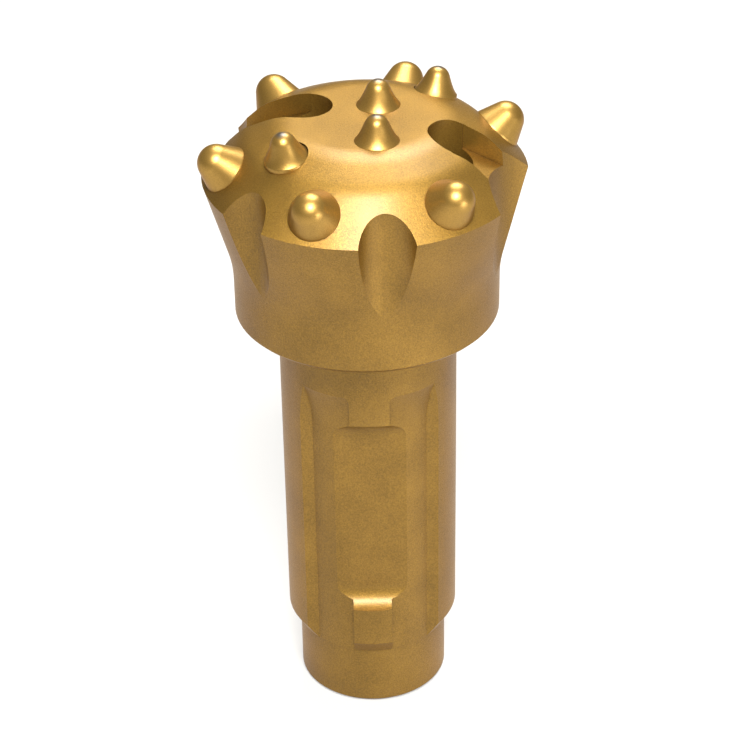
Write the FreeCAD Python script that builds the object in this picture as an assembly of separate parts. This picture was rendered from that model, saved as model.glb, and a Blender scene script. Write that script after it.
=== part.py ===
"""Button bit for a down-the-hole hammer: a forged steel body with ten carbide buttons.

Millimetres. The bit stands on its tail end: the origin is the middle of that face and +Z runs
up the drilling axis to the rock face. -Y is the side of the first driving key, +X is to its right.
Azimuths are degrees about +Z, counted from +X towards +Y.
"""
import math
import os

import FreeCAD
import Part

V = FreeCAD.Vector
X_AXIS, Y_AXIS, Z_AXIS = V(1, 0, 0), V(0, 1, 0), V(0, 0, 1)

# Driving dimensions
BIT_DIAMETER = 91.3          # over the tips of the gauge buttons
BODY_LENGTH = 184.0          # tail end to the flat of the face
SHANK_DIAMETER = 50.0
TAIL_DIAMETER = 43.4
SKIRT_DIAMETER = 73.6
GAUGE_BODY_DIAMETER = 88.2   # the steel at the gauge edge, inside the gauge buttons

# Heights along the axis
LEDGE_Z = 20.3               # top of the plain tail
SHANK_START_Z = 24.6         # end of the lead chamfer
SHOULDER_Z = 125.9           # underside of the head
FLARE_Z = 142.4              # skirt turns into the flare
GAUGE_Z = 168.0              # gauge edge

# Turned profile
TAIL_CHAMFER = 1.0
LEDGE_RADIUS = 22.6
NECK_FILLET = 2.0
SKIRT_CHAMFER = 1.2
FLARE_BLEND = 40.0
GAUGE_ANGLE = 45.0           # gauge bevel below the horizontal
BEVEL_INNER_RADIUS = 32.8
FACE_FLAT_RADIUS = 22.5
RING_BLEND = 14.0            # soft turn between the gauge bevel and the sloping ring
FLAT_BLEND = 18.0            # soft turn between the ring and the flat

# Central air bore, drilled from the tail
BORE_RADIUS = 10.0
BORE_DEPTH = 150.0
BORE_CHAMFER = 1.5
DRILL_POINT_ANGLE = 118.0

# Driving keys: a keyway on the front and one on the back, each with a rib down its middle
KEYWAY_FLOOR_RADIUS = 22.45
KEYWAY_WALL_Y = 15.8
KEYWAY_TOP_Z = 110.4
FLOOR_RUNOUT_RADIUS = 40.0
WALL_RUNOUT_RADIUS = 64.0
WALL_RUNOUT_LENGTH = 13.4
RIB_HALF_WIDTH = 5.6
RIB_CORNER_RADIUS = 2.2

# Retaining flat across the rib, where the bit retaining ring sits
FLAT_DEPTH_Y = 20.0
FLAT_START_Z = 43.2
FLAT_END_Z = 95.0
FLAT_END_RADIUS = 6.5
FLAT_HALF_WIDTH = 12.5

# Junk slots down the side of the head
FLUTE_RADIUS = 7.8
FLUTE_AXIS_RADIUS = 45.2
SIDE_SLOT_RADIUS = 18.8
SIDE_SLOT_FLOOR = 36.9       # from the axis, at the foot of the slot
SIDE_SLOT_FOOT_Z = 143.0
SIDE_SLOT_TILT = 4.0
SIDE_SLOT_OFFSET = -4.2

# Flushing holes with an open channel from each hole to its side slot
CHANNEL_AZIMUTH = -14.0
CHANNEL_OFFSET = -3.2
CHANNEL_HALF_WIDTH = 7.6
CHANNEL_SLOPE = 21.3
CHANNEL_FLOOR_RADIUS, CHANNEL_FLOOR_Z = 28.4, 174.3
FLUSH_RADIUS = 7.4
FLUSH_TILT = 18.0
FLUSH_MOUTHS = (25.9, 17.3)  # distance of each mouth along its channel
FLUSH_DEPTHS = (52.0, 40.0)

# Buttons
GAUGE_BUTTON = {"diameter": 14.0, "collar": 2.1, "height": 8.4, "tip": 5.1, "seat": 11.0}
FACE_BUTTON = {"diameter": 12.0, "collar": 1.5, "height": 7.3, "tip": 4.0, "seat": 11.0}
BUTTON_FOOT_CHAMFER = 0.8
GAUGE_GROUP_AZIMUTHS = (73.0, -110.3)    # middle button of each group of three
GAUGE_SPACING = 55.0
# radius, azimuth and lean of each face button
FACE_PLACES = ((14.6, -77.0, 0.0), (8.1, 61.0, 0.0), (26.6, 42.5, 12.0), (27.4, -138.0, 12.0))

CUT_MARGIN = 6.0             # how far a cutter runs past the steel


def polar(radius, azimuth, z=0.0):
    """Point at a radius and an azimuth."""
    a = math.radians(azimuth)
    return V(radius * math.cos(a), radius * math.sin(a), z)


def lean(azimuth, tilt):
    """Unit vector leaning outwards from +Z by tilt degrees, towards an azimuth."""
    return polar(math.sin(math.radians(tilt)), azimuth, math.cos(math.radians(tilt)))


def rounded(corner, before, after, radius):
    """Ends and middle of the arc of a radius that rounds a corner between two neighbours."""
    to_before = (before - corner).normalize()
    to_after = (after - corner).normalize()
    half = to_before.getAngle(to_after) / 2
    reach = radius / math.tan(half)
    bisector = (to_before + to_after).normalize()
    middle = corner + bisector * (radius / math.sin(half) - radius)
    return corner + to_before * reach, middle, corner + to_after * reach


def outline(points, radii=None):
    """Closed wire through the points, where radii gives a rounding for a point's number."""
    radii = radii or {}
    edges, first, last = [], None, None
    for i, point in enumerate(points):
        start, end = point, point
        arc = None
        if i in radii:
            start, middle, end = rounded(point, points[i - 1], points[(i + 1) % len(points)], radii[i])
            arc = Part.Arc(start, middle, end).toShape()
        if last is not None:
            edges.append(Part.makeLine(last, start))
        if arc is not None:
            edges.append(arc)
        first = first or start
        last = end
    edges.append(Part.makeLine(last, first))
    return Part.Wire(edges)


def turned(points, radii=None):
    """Solid turned about +Z from (radius, z) points."""
    wire = outline([V(r, 0, z) for r, z in points], radii)
    return Part.Face(wire).revolve(V(), Z_AXIS, 360)


def both_sides(cutters):
    """The cutters and the same cutters half a turn round the axis."""
    turned_round = [c.copy() for c in cutters]
    for c in turned_round:
        c.rotate(V(), Z_AXIS, 180)
    return cutters + turned_round


def bevel_height(radius):
    """Height of the gauge bevel's cone at a radius."""
    return GAUGE_Z + (GAUGE_BODY_DIAMETER / 2 - radius) * math.tan(math.radians(GAUGE_ANGLE))


def blank():
    """The turned steel body before any milling, with its air bore."""
    tail, shank = TAIL_DIAMETER / 2, SHANK_DIAMETER / 2
    skirt, gauge = SKIRT_DIAMETER / 2, GAUGE_BODY_DIAMETER / 2
    profile = [
        (0, 0), (tail - TAIL_CHAMFER, 0), (tail, TAIL_CHAMFER), (tail, LEDGE_Z),
        (LEDGE_RADIUS, LEDGE_Z), (shank, SHANK_START_Z), (shank, SHOULDER_Z),
        (skirt - SKIRT_CHAMFER, SHOULDER_Z), (skirt, SHOULDER_Z + SKIRT_CHAMFER), (skirt, FLARE_Z),
        (gauge, GAUGE_Z), (BEVEL_INNER_RADIUS, bevel_height(BEVEL_INNER_RADIUS)),
        (FACE_FLAT_RADIUS, BODY_LENGTH), (0, BODY_LENGTH),
    ]
    radii = {6: NECK_FILLET, 9: FLARE_BLEND, 11: RING_BLEND, 12: FLAT_BLEND}
    return turned(profile, radii).cut(air_bore())


def air_bore():
    """Blind bore from the tail, with a drill point and a chamfered mouth."""
    point = BORE_RADIUS / math.tan(math.radians(DRILL_POINT_ANGLE / 2))
    return turned([
        (0, -CUT_MARGIN), (BORE_RADIUS + BORE_CHAMFER + CUT_MARGIN, -CUT_MARGIN),
        (BORE_RADIUS, BORE_CHAMFER), (BORE_RADIUS, BORE_DEPTH), (0, BORE_DEPTH + point),
    ])


def runout(start, outward, length, radius):
    """Arc that leaves a point along +Z and bends outwards over a length, with its end point."""
    def on_arc(rise_z):
        return start + Z_AXIS * rise_z + outward * (radius - math.sqrt(radius ** 2 - rise_z ** 2))

    end = on_arc(length)
    return Part.Arc(start, on_arc(length / 2), end).toShape(), end


def keyway_floor():
    """Turned ring outside the keyway floor, which runs out in an arc at its top end."""
    shank = SHANK_DIAMETER / 2
    rise = shank - KEYWAY_FLOOR_RADIUS
    run = math.sqrt(FLOOR_RUNOUT_RADIUS ** 2 - (FLOOR_RUNOUT_RADIUS - rise) ** 2)
    start = V(KEYWAY_FLOOR_RADIUS, 0, KEYWAY_TOP_Z - run)
    arc, end = runout(start, X_AXIS, run, FLOOR_RUNOUT_RADIUS)
    foot = LEDGE_Z - CUT_MARGIN
    outer = shank + CUT_MARGIN
    wire = Part.Wire([
        Part.makeLine(V(KEYWAY_FLOOR_RADIUS, 0, foot), start), arc,
        Part.makeLine(end, V(outer, 0, KEYWAY_TOP_Z)),
        Part.makeLine(V(outer, 0, KEYWAY_TOP_Z), V(outer, 0, foot)),
        Part.makeLine(V(outer, 0, foot), V(KEYWAY_FLOOR_RADIUS, 0, foot)),
    ])
    return Part.Face(wire).revolve(V(), Z_AXIS, 360)


def keyway_side():
    """Everything in front of the two keyway walls, which lean outwards near the top end."""
    shank = SHANK_DIAMETER / 2
    start = V(0, -KEYWAY_WALL_Y, KEYWAY_TOP_Z - WALL_RUNOUT_LENGTH)
    arc, top = runout(start, -Y_AXIS, WALL_RUNOUT_LENGTH, WALL_RUNOUT_RADIUS)
    foot = LEDGE_Z - CUT_MARGIN
    far = -shank - CUT_MARGIN
    wire = Part.Wire([
        Part.makeLine(V(0, -KEYWAY_WALL_Y, foot), start), arc,
        Part.makeLine(top, V(0, far, KEYWAY_TOP_Z)),
        Part.makeLine(V(0, far, KEYWAY_TOP_Z), V(0, far, foot)),
        Part.makeLine(V(0, far, foot), V(0, -KEYWAY_WALL_Y, foot)),
    ])
    wire.translate(V(-shank, 0, 0))
    return Part.Face(wire).extrude(V(2 * shank, 0, 0))


def rib():
    """The key that the keyway leaves standing, with rounded corners at its top end."""
    foot, top = LEDGE_Z - CUT_MARGIN, KEYWAY_TOP_Z
    half, flare = RIB_HALF_WIDTH, RIB_HALF_WIDTH + 3 * RIB_CORNER_RADIUS
    wire = outline([
        V(-half, 0, foot), V(half, 0, foot), V(half, 0, top), V(flare, 0, top),
        V(flare, 0, top + CUT_MARGIN), V(-flare, 0, top + CUT_MARGIN), V(-flare, 0, top),
        V(-half, 0, top),
    ], {2: RIB_CORNER_RADIUS, 7: RIB_CORNER_RADIUS})
    return Part.Face(wire).extrude(V(0, -(SHANK_DIAMETER / 2 + 2 * CUT_MARGIN), 0))


def retaining_flat():
    """Cutter for the flat across the rib, with a round run-in at both ends."""
    r, y = FLAT_END_RADIUS, -FLAT_DEPTH_Y
    far = y - r - CUT_MARGIN
    wire = outline([
        V(0, y, FLAT_START_Z - r), V(0, y, FLAT_END_Z + r), V(0, far, FLAT_END_Z + r),
        V(0, far, FLAT_START_Z - r),
    ], {0: r, 1: r})
    wire.translate(V(-FLAT_HALF_WIDTH, 0, 0))
    return Part.Face(wire).extrude(V(2 * FLAT_HALF_WIDTH, 0, 0))


def keyway_cutters():
    """The keyway and its retaining flat, on the front and on the back."""
    keyway = keyway_floor().common(keyway_side()).cut(rib())
    return both_sides([keyway, retaining_flat()])


def flute_cutters():
    """Round upright flutes, one between each two neighbouring gauge buttons of a group."""
    foot, top = FLARE_Z - CUT_MARGIN, BODY_LENGTH
    flutes = []
    for group in GAUGE_GROUP_AZIMUTHS:
        for step in (-0.5, 0.5):
            axis = polar(FLUTE_AXIS_RADIUS, group + step * GAUGE_SPACING, foot)
            flutes.append(Part.makeCylinder(FLUTE_RADIUS, top - foot, axis, Z_AXIS))
    return flutes


def channel_frame(solid):
    """Turns a solid made along +X with its offset in Y to the channel's azimuth."""
    solid.rotate(V(), Z_AXIS, CHANNEL_AZIMUTH)
    return solid


def side_slot():
    """Wide junk slot down the side: a leaning cylinder that runs out at its foot."""
    along = lean(180, SIDE_SLOT_TILT)
    foot = V(SIDE_SLOT_FLOOR + SIDE_SLOT_RADIUS, SIDE_SLOT_OFFSET, SIDE_SLOT_FOOT_Z)
    foot -= along * CUT_MARGIN
    length = BODY_LENGTH - SIDE_SLOT_FOOT_Z + 2 * CUT_MARGIN
    return channel_frame(Part.makeCylinder(SIDE_SLOT_RADIUS, length, foot, along))


def channel(mouth):
    """Open channel with a sloping floor, from the flushing hole out through the gauge."""
    slope = math.tan(math.radians(CHANNEL_SLOPE))
    inner, outer = mouth, GAUGE_BODY_DIAMETER / 2 + CUT_MARGIN
    low = [V(x, 0, CHANNEL_FLOOR_Z - (x - CHANNEL_FLOOR_RADIUS) * slope) for x in (inner, outer)]
    top = BODY_LENGTH + CUT_MARGIN
    wire = outline([low[0], low[1], V(outer, 0, top), V(inner, 0, top)])
    wire.translate(V(0, CHANNEL_OFFSET - CHANNEL_HALF_WIDTH, 0))
    return channel_frame(Part.Face(wire).extrude(V(0, 2 * CHANNEL_HALF_WIDTH, 0)))


def flushing_hole(mouth, depth):
    """Hole drilled from the face, leaning in to meet the air bore."""
    down = -lean(0, FLUSH_TILT)
    start = V(mouth, CHANNEL_OFFSET, BODY_LENGTH) - down * CUT_MARGIN
    return channel_frame(Part.makeCylinder(FLUSH_RADIUS, depth + CUT_MARGIN, start, down))


def face_cutters():
    """Flushing hole, channel and side slot on each side of the head."""
    sides = []
    for turn, mouth, depth in zip((0, 180), FLUSH_MOUTHS, FLUSH_DEPTHS):
        for cutter in (flushing_hole(mouth, depth), channel(mouth), side_slot()):
            cutter.rotate(V(), Z_AXIS, turn)
            sides.append(cutter)
    return sides


def head_height(radius):
    """Height of the head's top surface at a radius, leaving out the blends."""
    if radius <= FACE_FLAT_RADIUS:
        return BODY_LENGTH
    if radius <= BEVEL_INNER_RADIUS:
        part = (radius - FACE_FLAT_RADIUS) / (BEVEL_INNER_RADIUS - FACE_FLAT_RADIUS)
        return BODY_LENGTH + part * (bevel_height(BEVEL_INNER_RADIUS) - BODY_LENGTH)
    return bevel_height(radius)


def gauge_seat_radius():
    """Radius where a gauge button's axis leaves the bevel, so that its tip cuts the full bit."""
    b = GAUGE_BUTTON
    return BIT_DIAMETER / 2 - b["tip"] - math.sin(math.radians(GAUGE_ANGLE)) * (b["height"] - b["tip"])


def button_places():
    """Name, kind, seat point and direction of every button."""
    places = []
    seat_radius = gauge_seat_radius()
    azimuths = [group + step * GAUGE_SPACING for group in GAUGE_GROUP_AZIMUTHS for step in (-1, 0, 1)]
    for number, azimuth in enumerate(azimuths, 1):
        places.append((f"gauge_button_{number}", GAUGE_BUTTON,
                       polar(seat_radius, azimuth, head_height(seat_radius)), lean(azimuth, GAUGE_ANGLE)))
    for number, (radius, azimuth, tilt) in enumerate(FACE_PLACES, 1):
        places.append((f"face_button_{number}", FACE_BUTTON,
                       polar(radius, azimuth, head_height(radius)), lean(azimuth, tilt)))
    return places


def placed(solid, point, direction):
    """The solid with its own +Z turned to a direction and its origin moved to a point."""
    solid.Placement = FreeCAD.Placement(point, FreeCAD.Rotation(Z_AXIS, direction))
    return solid


def button(kind):
    """Carbide button: chamfered grip, short collar, cone and a ball tip tangent to the cone."""
    r, tip = kind["diameter"] / 2, kind["tip"]
    centre = kind["height"] - tip
    # the cone leaves the collar's edge and touches the ball
    reach = math.hypot(r, centre - kind["collar"])
    angle = math.acos(tip / reach) - math.atan2(centre - kind["collar"], r)
    touch = V(tip * math.cos(angle), 0, centre + tip * math.sin(angle))
    half = (angle + math.pi / 2) / 2
    crown = V(tip * math.cos(half), 0, centre + tip * math.sin(half))
    top = V(0, 0, kind["height"])
    corners = [V(0, 0, -kind["seat"]), V(r - BUTTON_FOOT_CHAMFER, 0, -kind["seat"]),
               V(r, 0, -kind["seat"] + BUTTON_FOOT_CHAMFER), V(r, 0, kind["collar"]), touch]
    edges = [Part.makeLine(a, b) for a, b in zip(corners, corners[1:])]
    edges += [Part.Arc(touch, crown, top).toShape(), Part.makeLine(top, corners[0])]
    return Part.Face(Part.Wire(edges)).revolve(V(), Z_AXIS, 360)


def seat(kind):
    """Flat-bottomed hole that a button's grip fills."""
    return Part.makeCylinder(kind["diameter"] / 2, kind["seat"] + CUT_MARGIN, V(0, 0, -kind["seat"]))


def bit_body(places):
    """The milled and drilled body with a seat for every button."""
    cutters = keyway_cutters() + flute_cutters() + face_cutters()
    cutters += [placed(seat(kind), point, direction) for _, kind, point, direction in places]
    return blank().cut(cutters)


def main():
    """Write one STEP file for each piece."""
    os.makedirs("parts", exist_ok=True)
    places = button_places()
    nodes = {"bit_body": bit_body(places)}
    for name, kind, point, direction in places:
        nodes[name] = placed(button(kind), point, direction)
    for name, shape in nodes.items():
        solid = shape.Solids[0] if len(shape.Solids) == 1 else shape
        print(name, "solids", len(shape.Solids), "valid", solid.isValid(), "volume", round(solid.Volume))
        solid.exportStep(f"parts/{name}.step")


main()
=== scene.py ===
"""Looks of a down-the-hole button bit: gold paint over a shot-blasted forged body and its carbide buttons.

Metres. The body is a merged copy of its CAD node, and each button is a numpy surface turned about
the axis of its CAD node. Both stand for those nodes and wear their own paint.
"""

import enum
import logging
import math
from dataclasses import dataclass

import bmesh
import bpy
import numpy as np
from mathutils import Matrix, Vector


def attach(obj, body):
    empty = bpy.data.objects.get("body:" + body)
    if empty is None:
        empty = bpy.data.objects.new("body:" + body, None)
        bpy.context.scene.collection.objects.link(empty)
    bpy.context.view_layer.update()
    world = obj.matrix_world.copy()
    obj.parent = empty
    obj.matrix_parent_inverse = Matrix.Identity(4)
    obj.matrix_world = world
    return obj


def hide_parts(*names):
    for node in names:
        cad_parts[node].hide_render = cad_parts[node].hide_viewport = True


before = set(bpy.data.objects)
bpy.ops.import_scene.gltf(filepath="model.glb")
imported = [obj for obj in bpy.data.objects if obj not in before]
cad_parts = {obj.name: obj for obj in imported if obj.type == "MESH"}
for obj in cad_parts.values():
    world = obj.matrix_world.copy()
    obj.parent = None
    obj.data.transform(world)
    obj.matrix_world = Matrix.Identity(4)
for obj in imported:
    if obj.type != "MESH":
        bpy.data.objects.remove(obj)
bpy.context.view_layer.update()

LOG = logging.getLogger("button_bit")
MM = 0.001
FOOT_BAND = 0.05 * MM      # points this close to a button's lowest one lie on its flat foot
WELD = 0.002 * MM          # distance under which the CAD mesh's loose corners are one point


class Slot(enum.Enum):
    """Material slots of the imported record."""

    STEEL = "steel_body"
    CARBIDE = "carbide_buttons"


def linear(hex_colour: str) -> tuple[float, float, float, float]:
    """Turn an sRGB hex colour into the linear colour that a shader wants.

    Args:
        hex_colour: Six hex digits, with or without a leading #.

    Returns:
        Linear red, green and blue with an alpha of 1.
    """
    digits = hex_colour.lstrip("#")
    parts = np.array([int(digits[i:i + 2], 16) for i in (0, 2, 4)]) / 255
    low = parts / 12.92
    high = ((parts + 0.055) / 1.055) ** 2.4
    red, green, blue = np.where(parts <= 0.04045, low, high)
    return float(red), float(green), float(blue), 1.0


def add_node(
    tree: bpy.types.NodeTree,
    kind: str,
    settings: dict[str, object] | None = None,
    links: dict[str, bpy.types.NodeSocket] | None = None,
) -> bpy.types.Node:
    """Add a shader node with its settings and links.

    Args:
        tree: Node tree of the material or world.
        kind: Blender's name for the node type.
        settings: Values by property name, or by input name or number.
        links: Output sockets by the input name or number that they feed.

    Returns:
        The new node.
    """
    node = tree.nodes.new(kind)
    for name, value in (settings or {}).items():
        if isinstance(name, str) and hasattr(node, name):
            setattr(node, name, value)
        else:
            node.inputs[name].default_value = value
    for name, socket in (links or {}).items():
        tree.links.new(socket, node.inputs[name])
    return node


def grid_faces(rows: int, columns: int, closed: bool) -> np.ndarray:
    """Corner numbers of the quads of a grid, numbered row by row.

    Args:
        rows: Points along the first parameter.
        columns: Points along the second parameter.
        closed: True if the last column joins the first.

    Returns:
        An array of four corners a quad.
    """
    i, j = np.meshgrid(np.arange(rows - 1), np.arange(columns if closed else columns - 1), indexing="ij")
    here, right = i * columns + j, i * columns + (j + 1) % columns
    return np.stack([here, right, right + columns, here + columns], axis=-1).reshape(-1, 4)


def mesh_object(name: str, points: np.ndarray, faces: list[tuple[int, ...]]) -> bpy.types.Object:
    """Put points and faces into a new object at the origin, shaded smooth.

    Args:
        name: Name of the object and its mesh.
        points: Point coordinates in metres, one row a point.
        faces: Corner numbers of each face.

    Returns:
        The linked object.
    """
    mesh = bpy.data.meshes.new(name)
    mesh.from_pydata(points.tolist(), [], faces)
    mesh.validate()
    mesh.shade_smooth()
    made = bpy.data.objects.new(name, mesh)
    bpy.context.collection.objects.link(made)
    return made


@dataclass(frozen=True)
class GoldPaint:
    """Gold metallic paint, sprayed thin over shot-blasted steel.

    The coat follows the blasted surface, so the eye sees a fine sandy grain with small glints, soft
    wide highlights that go pale, and a faintly uneven tone where the spray is thicker. Inner corners get a
    painted shade.
    """

    name: str
    coat: str                 # tone of the paint where it is thick
    thin: str                 # tone where it is thin or dusty
    grain: float              # spacing of the blasted dimples, drawn coarse enough to show
    depth: float              # height of the dimples in the bump
    roughness: float
    metallic: float = 0.84
    varnish: float = 0.5      # clear binder over the flakes, which turns the highlights pale
    painted_shade_reach: float = 2.2 * MM   # how far the painted shade reaches out of an inner corner
    spot: str = ""            # name of a mesh attribute that marks bare worn spots
    varnish_roughness: float = 0.36
    edge_tint: str = "#C9A766"      # keeps glancing reflections golden
    # dark brown tone of the painted shade in inner corners
    painted_shade: str = "#3E2A0C"
    bare_carbide: str = "#4C5052"   # dark grey-blue of the carbide under the paint
    cloud: float = 14 * MM    # size of the uneven patches of spray
    cloud_share: float = 0.30  # how much of the tone the patches take, the rest is grain

    def build(self) -> bpy.types.Material:
        """Build the node material.

        Returns:
            The finished material.
        """
        material = bpy.data.materials.new(self.name)
        material.use_nodes = True
        tree = material.node_tree
        shader = tree.nodes["Principled BSDF"]
        place = add_node(tree, "ShaderNodeTexCoord").outputs["Object"]
        cloud = add_node(tree, "ShaderNodeTexNoise", {"Scale": 1 / self.cloud, "Detail": 3.0},
                         {"Vector": place}).outputs["Fac"]
        grit = add_node(tree, "ShaderNodeTexNoise", {"Scale": 1 / self.grain, "Detail": 4.0,
                                                     "Roughness": 0.75},
                        {"Vector": place}).outputs["Fac"]
        tone = add_node(tree, "ShaderNodeMix", {"data_type": "FLOAT", 0: self.cloud_share},
                        {2: grit, 3: cloud}).outputs[0]
        ramp = add_node(tree, "ShaderNodeValToRGB", links={"Fac": tone})
        low, high = ramp.color_ramp.elements
        low.position, high.position = 0.34, 0.66
        low.color, high.color = linear(self.thin), linear(self.coat)
        # Painted shade: ambient occlusion darkens the paint towards a dark brown in inner corners and
        # recesses.
        corner = add_node(tree, "ShaderNodeAmbientOcclusion", {"samples": 8, "Distance": self.painted_shade_reach})
        painted_shade = add_node(tree, "ShaderNodeMapRange", {"From Min": 0.25, "From Max": 0.8,
                                                     "To Min": 0.75, "To Max": 0.0},
                        {"Value": corner.outputs["AO"]})
        with_painted_shade = add_node(tree, "ShaderNodeMix", {"data_type": "RGBA", 7: linear(self.painted_shade)},
                         {0: painted_shade.outputs["Result"], 6: ramp.outputs["Color"]})
        colour = with_painted_shade.outputs[2]
        if self.spot:
            mark = add_node(tree, "ShaderNodeAttribute", {"attribute_name": self.spot})
            worn = add_node(tree, "ShaderNodeMix", {"data_type": "RGBA", 7: linear(self.bare_carbide)},
                            {0: mark.outputs["Fac"], 6: colour})
            colour = worn.outputs[2]
        tree.links.new(colour, shader.inputs["Base Color"])
        rough = add_node(tree, "ShaderNodeMapRange", {"From Min": 0.3, "From Max": 0.7,
                                                      "To Min": self.roughness + 0.12,
                                                      "To Max": self.roughness - 0.12},
                         {"Value": grit}).outputs["Result"]
        tree.links.new(rough, shader.inputs["Roughness"])
        bump = add_node(tree, "ShaderNodeBump", {"Strength": 1.0, "Distance": self.depth},
                        {"Height": grit})
        tree.links.new(bump.outputs["Normal"], shader.inputs["Normal"])
        shader.inputs["Metallic"].default_value = self.metallic
        shader.inputs["Specular Tint"].default_value = linear(self.edge_tint)
        shader.inputs["Coat Weight"].default_value = self.varnish
        shader.inputs["Coat Roughness"].default_value = self.varnish_roughness
        return material


def painted_copy(name: str, node: str, material: bpy.types.Material,
                 sharp_angle: float) -> bpy.types.Object:
    """Make a merged copy of a CAD node that is smooth up to its machined edges and stands for it.

    Args:
        name: Name of the new object.
        node: CAD node to copy.
        material: Finish of the whole piece.
        sharp_angle: Angle in degrees above which an edge stays crisp.

    Returns:
        The object that stands for the CAD node.
    """
    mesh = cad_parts[node].data.copy()
    mesh.name = name
    if "custom_normal" in mesh.attributes:
        mesh.attributes.remove(mesh.attributes["custom_normal"])
    work = bmesh.new()
    work.from_mesh(mesh)
    bmesh.ops.remove_doubles(work, verts=work.verts, dist=WELD)
    work.to_mesh(mesh)
    work.free()
    mesh.materials.clear()
    mesh.materials.append(material)
    mesh.shade_smooth()
    mesh.set_sharp_from_angle(angle=math.radians(sharp_angle))
    made = bpy.data.objects.new(name, mesh)
    bpy.context.collection.objects.link(made)
    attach(made, "root")
    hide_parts(node)
    LOG.info("%s: %d faces", name, len(mesh.polygons))
    return made


@dataclass
class Body:
    """The forged and milled steel body, one piece."""

    node: str = "bit_body"
    sharp_angle: float = 11.0
    paint: GoldPaint = GoldPaint("gold_paint_on_shot_blasted_steel", "#9C7730", "#6E521C",
                                 0.42 * MM, 0.12 * MM, 0.46)

    def build(self) -> bpy.types.Object:
        """Dress the body; its edges are crisp where two machined faces meet at more than 11 degrees."""
        return painted_copy("painted_body", self.node, self.paint.build(), self.sharp_angle)


@dataclass(frozen=True)
class ButtonProfile:
    """Shape of one size of carbide button above the steel."""

    radius: float             # at the steel
    height: float
    tip: float                # radius of the ball tip
    flank: float              # half angle of the cone in degrees
    foot: float               # height over which the flank hollows out to the full radius
    grip: float = 3.0 * MM    # stretch kept inside the steel
    rings: int = 40

    def curve(self) -> np.ndarray:
        """Radius and height of points from the grip's end up to the tip.

        The ball's tangent cone gives the flank: its radius grows by tan(flank) a unit downwards. The
        foot adds what is missing to the full radius, dying away as exp(-height / foot).

        Returns:
            Radius and height, one row a point.
        """
        angle = math.radians(self.flank)
        touch = self.height - self.tip + self.tip * math.sin(angle)
        rise = np.linspace(0.0, touch, self.rings)
        cone = self.tip * math.cos(angle) + (touch - rise) * math.tan(angle)
        hollow = (self.radius - cone[0]) * np.exp(-rise / self.foot)
        turn = np.linspace(angle, math.pi / 2, self.rings)[1:]
        ball = np.stack([self.tip * np.cos(turn), self.height - self.tip + self.tip * np.sin(turn)], axis=1)
        flank = np.stack([cone + hollow, rise], axis=1)
        return np.vstack([[[self.radius, -self.grip]], flank, ball])


@dataclass
class Buttons:
    """The ten pressed-in carbide buttons, turned to their ground profile."""

    gauge: ButtonProfile = ButtonProfile(7.0 * MM, 8.3 * MM, 5.1 * MM, 24.0, 1.5 * MM)
    face: ButtonProfile = ButtonProfile(6.0 * MM, 7.3 * MM, 3.4 * MM, 22.0, 1.3 * MM)
    seat_depth: float = 11.0 * MM
    segments: int = 96
    worn_radius: float = 1.5 * MM       # bare patch at the tips of the face buttons
    paint: GoldPaint = GoldPaint("gold_paint_on_ground_carbide", "#B08A40", "#8C6A2A", 0.35 * MM,
                                 0.03 * MM, 0.38, spot="worn_tip")

    def axis(self, name: str) -> tuple[np.ndarray, np.ndarray]:
        """Find where a button sits and which way it points.

        A button is longer than it is wide, so its axis is the principal direction of its CAD points
        with the widest span. The seat is one seat depth out from the middle of its flat foot.

        Args:
            name: CAD node of the button.

        Returns:
            The point where the axis meets the steel, and the unit direction out of the steel.
        """
        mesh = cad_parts[name].data
        points = np.empty(len(mesh.vertices) * 3, np.float32)
        mesh.vertices.foreach_get("co", points)
        points = np.unique(points.reshape(-1, 3).round(7), axis=0).astype(float)
        centre = points.mean(axis=0)
        _, _, ways = np.linalg.svd(points - centre)
        spans = [np.ptp((points - centre) @ way) for way in ways]
        out = ways[int(np.argmax(spans))]
        out = out if out[2] > 0 else -out
        low = ((points - centre) @ out).min()
        ends = points[(points - centre) @ out < low + FOOT_BAND]
        return ends.mean(axis=0) + out * self.seat_depth, out

    def turn(self, name: str, profile: ButtonProfile, worn: bool) -> bpy.types.Object:
        """Carry the profile once round the button's axis.

        Args:
            name: CAD node that the new piece stands for.
            profile: Shape to turn.
            worn: True if the tip has a bare patch.

        Returns:
            The finished piece.
        """
        seat, out = self.axis(name)
        side = np.cross(out, [0.0, 1.0, 0.0])
        side /= np.linalg.norm(side)
        across = np.cross(out, side)
        curve = profile.curve()[:-1]
        angle = np.linspace(0, 2 * math.pi, self.segments, endpoint=False)
        ring = np.cos(angle)[:, None] * side + np.sin(angle)[:, None] * across
        body = seat + curve[:, None, 1, None] * out + curve[:, None, 0, None] * ring[None]
        poles = np.stack([seat + out * profile.height, seat - out * profile.grip])
        points = np.vstack([body.reshape(-1, 3), poles])
        rows, last = len(curve), len(curve) * self.segments
        faces = [tuple(f) for f in grid_faces(rows, self.segments, True).tolist()]
        step = np.arange(self.segments)
        after = (step + 1) % self.segments
        top = (rows - 1) * self.segments
        faces += [(int(top + i), int(top + j), last) for i, j in zip(step, after)]
        faces += [(int(j), int(i), last + 1) for i, j in zip(step, after)]
        piece = mesh_object(f"painted_{name}", points, faces)
        bare = piece.data.attributes.new(self.paint.spot, "FLOAT", "POINT")
        reach = np.linalg.norm(points - poles[0], axis=1)
        share = np.clip(1.3 - reach / self.worn_radius, 0, 0.85) if worn else np.zeros(len(points))
        bare.data.foreach_set("value", share.astype(np.float32))
        return piece

    def build(self) -> list[bpy.types.Object]:
        """Turn and dress every button, one object for each CAD node."""
        material = self.paint.build()
        made = []
        for name in sorted(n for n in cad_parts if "_button_" in n):
            is_gauge = name.startswith("gauge")
            piece = self.turn(name, self.gauge if is_gauge else self.face, not is_gauge)
            piece.data.materials.append(material)
            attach(piece, "root")
            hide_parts(name)
            LOG.info("%s: %d faces", piece.name, len(piece.data.polygons))
            made.append(piece)
        return made


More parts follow.
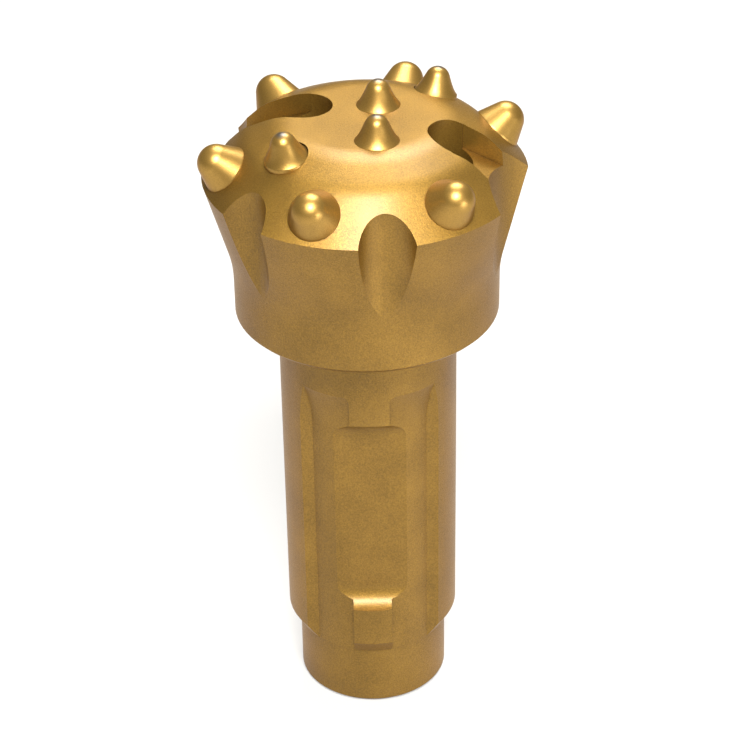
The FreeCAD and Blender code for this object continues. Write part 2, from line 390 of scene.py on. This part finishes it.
@dataclass
class Studio:
    """Floor, world, lamps and camera."""

    camera_place: tuple[float, float, float] = (0.0, -0.56134, 0.46104)
    pitch: float = 32.579      # degrees below the horizon
    yaw: float = 0.187
    roll: float = -0.943
    lens: float = 112.35
    paper_glow: float = 0.42   # lifts the lit paper to white for the camera and for reflections
    fill_strength: float = 0.22
    aim: tuple[float, float, float] = (0.0, 0.0, 0.12)
    # name, place, width and watts of each lamp
    lamps: tuple[tuple[str, tuple[float, float, float], float, float], ...] = (
        ("key", (0.04, -0.66, 1.02), 0.42, 30.0),
        ("top", (0.10, 0.50, 0.95), 0.50, 13.0),
        ("side", (0.70, -0.70, 0.14), 0.35, 4.5),
    )

    def build(self) -> None:
        """Build the whole studio."""
        self.build_camera()
        self.build_floor()
        self.build_world()
        self.build_lamps()

    def build_camera(self) -> None:
        """Place the camera from its pitch, yaw and roll."""
        p, y, r = (math.radians(v) for v in (self.pitch, self.yaw, self.roll))
        forward = Vector((math.sin(y) * math.cos(p), math.cos(y) * math.cos(p), -math.sin(p)))
        right = Vector((math.cos(y), -math.sin(y), 0.0))
        up = right.cross(forward)
        right_rolled = right * math.cos(r) + up * math.sin(r)
        up_rolled = up * math.cos(r) - right * math.sin(r)
        data = bpy.data.cameras.new("camera")
        data.lens, data.sensor_width = self.lens, 36.0
        data.clip_start, data.clip_end = 0.01, 20.0
        camera = bpy.data.objects.new("camera", data)
        bpy.context.collection.objects.link(camera)
        turn = Matrix((right_rolled, up_rolled, -forward)).transposed()
        camera.matrix_world = Matrix.Translation(self.camera_place) @ turn.to_4x4()
        bpy.context.scene.camera = camera

    def build_floor(self) -> None:
        """Lay a wide pale floor that the camera sees as white."""
        half = 3.0
        corners = np.array([[-half, -half, 0], [half, -half, 0], [half, half, 0], [-half, half, 0]])
        floor = mesh_object("floor", corners, [(0, 1, 2, 3)])
        material = bpy.data.materials.new("pale_paper_floor")
        material.use_nodes = True
        tree = material.node_tree
        shader = tree.nodes["Principled BSDF"]
        shader.inputs["Base Color"].default_value = linear("#9A9894")
        shader.inputs["Roughness"].default_value = 0.85
        shader.inputs["Specular IOR Level"].default_value = 0.1
        seen = add_node(tree, "ShaderNodeLightPath")
        gloss = add_node(tree, "ShaderNodeMath", {"operation": "MAXIMUM"},
                         {0: seen.outputs["Is Glossy Ray"], 1: seen.outputs["Is Transmission Ray"]})
        either = add_node(tree, "ShaderNodeMath", {"operation": "MAXIMUM"},
                          {0: seen.outputs["Is Camera Ray"], 1: gloss.outputs[0]})
        white = add_node(tree, "ShaderNodeEmission", {"Color": linear("#FFFFFF")})
        strength = add_node(tree, "ShaderNodeMath", {"operation": "MULTIPLY", 1: self.paper_glow},
                            {0: either.outputs[0]})
        tree.links.new(strength.outputs[0], white.inputs["Strength"])
        both = add_node(tree, "ShaderNodeAddShader", links={0: shader.outputs[0], 1: white.outputs[0]})
        tree.links.new(both.outputs[0], tree.nodes["Material Output"].inputs["Surface"])
        floor.data.materials.append(material)

    def build_world(self) -> None:
        """Give a plain even fill light."""
        world = bpy.data.worlds.new("studio")
        bpy.context.scene.world = world
        world.use_nodes = True
        back = world.node_tree.nodes["Background"]
        back.inputs["Color"].default_value = linear("#FFFFFF")
        back.inputs["Strength"].default_value = self.fill_strength

    def build_lamps(self) -> None:
        """Hang a soft key high in front, a top light behind the bit and a weak low lamp at its right."""
        for name, place, size, power in self.lamps:
            data = bpy.data.lights.new(name, "AREA")
            data.energy, data.size = power, size
            lamp = bpy.data.objects.new(name, data)
            bpy.context.collection.objects.link(lamp)
            aim = Vector(self.aim) - Vector(place)
            turn = aim.to_track_quat("-Z", "Y").to_matrix().to_4x4()
            lamp.matrix_world = Matrix.Translation(place) @ turn


def main() -> None:
    """Build the pieces and the studio."""
    logging.basicConfig(level=logging.INFO, format="%(message)s")
    Body().build()
    Buttons().build()
    Studio().build()
    bpy.context.scene.view_settings.view_transform = "Standard"


if __name__ == "__main__":
    main()
